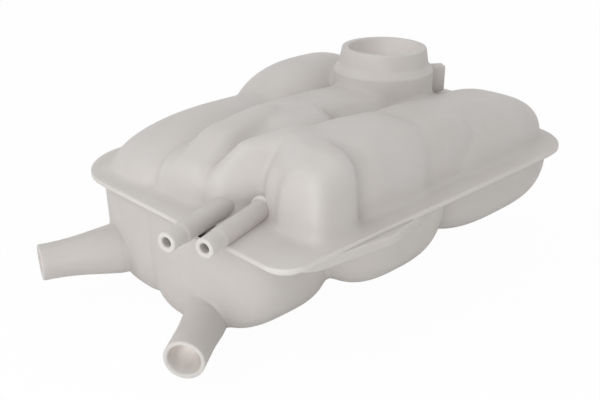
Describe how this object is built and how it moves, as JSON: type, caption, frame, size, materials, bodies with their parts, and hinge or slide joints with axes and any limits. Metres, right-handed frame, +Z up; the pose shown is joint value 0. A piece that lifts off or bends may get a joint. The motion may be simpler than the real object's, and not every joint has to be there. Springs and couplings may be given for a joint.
{
  "type": "coolant expansion tank",
  "caption": "Moulded coolant expansion tank of two welded half shells, with a filler neck, two hose pipes and two vent tubes.",
  "frame": {"origin": "centre of the filler neck's mouth", "axes": "+Z up along the filler neck, +X along the tank's length away from the hose pipes, +Y to the far side"},
  "size_m": [0.2907, 0.189, 0.1295],
  "materials": {
    "upper_plastic": "natural milky polypropylene, translucent, half matt",
    "lower_plastic": "natural milky polypropylene, translucent, half matt"
  },
  "bodies": {
    "root": {"upper_shell": "upper_plastic", "lower_shell": "lower_plastic"}
  },
  "joints": []
}
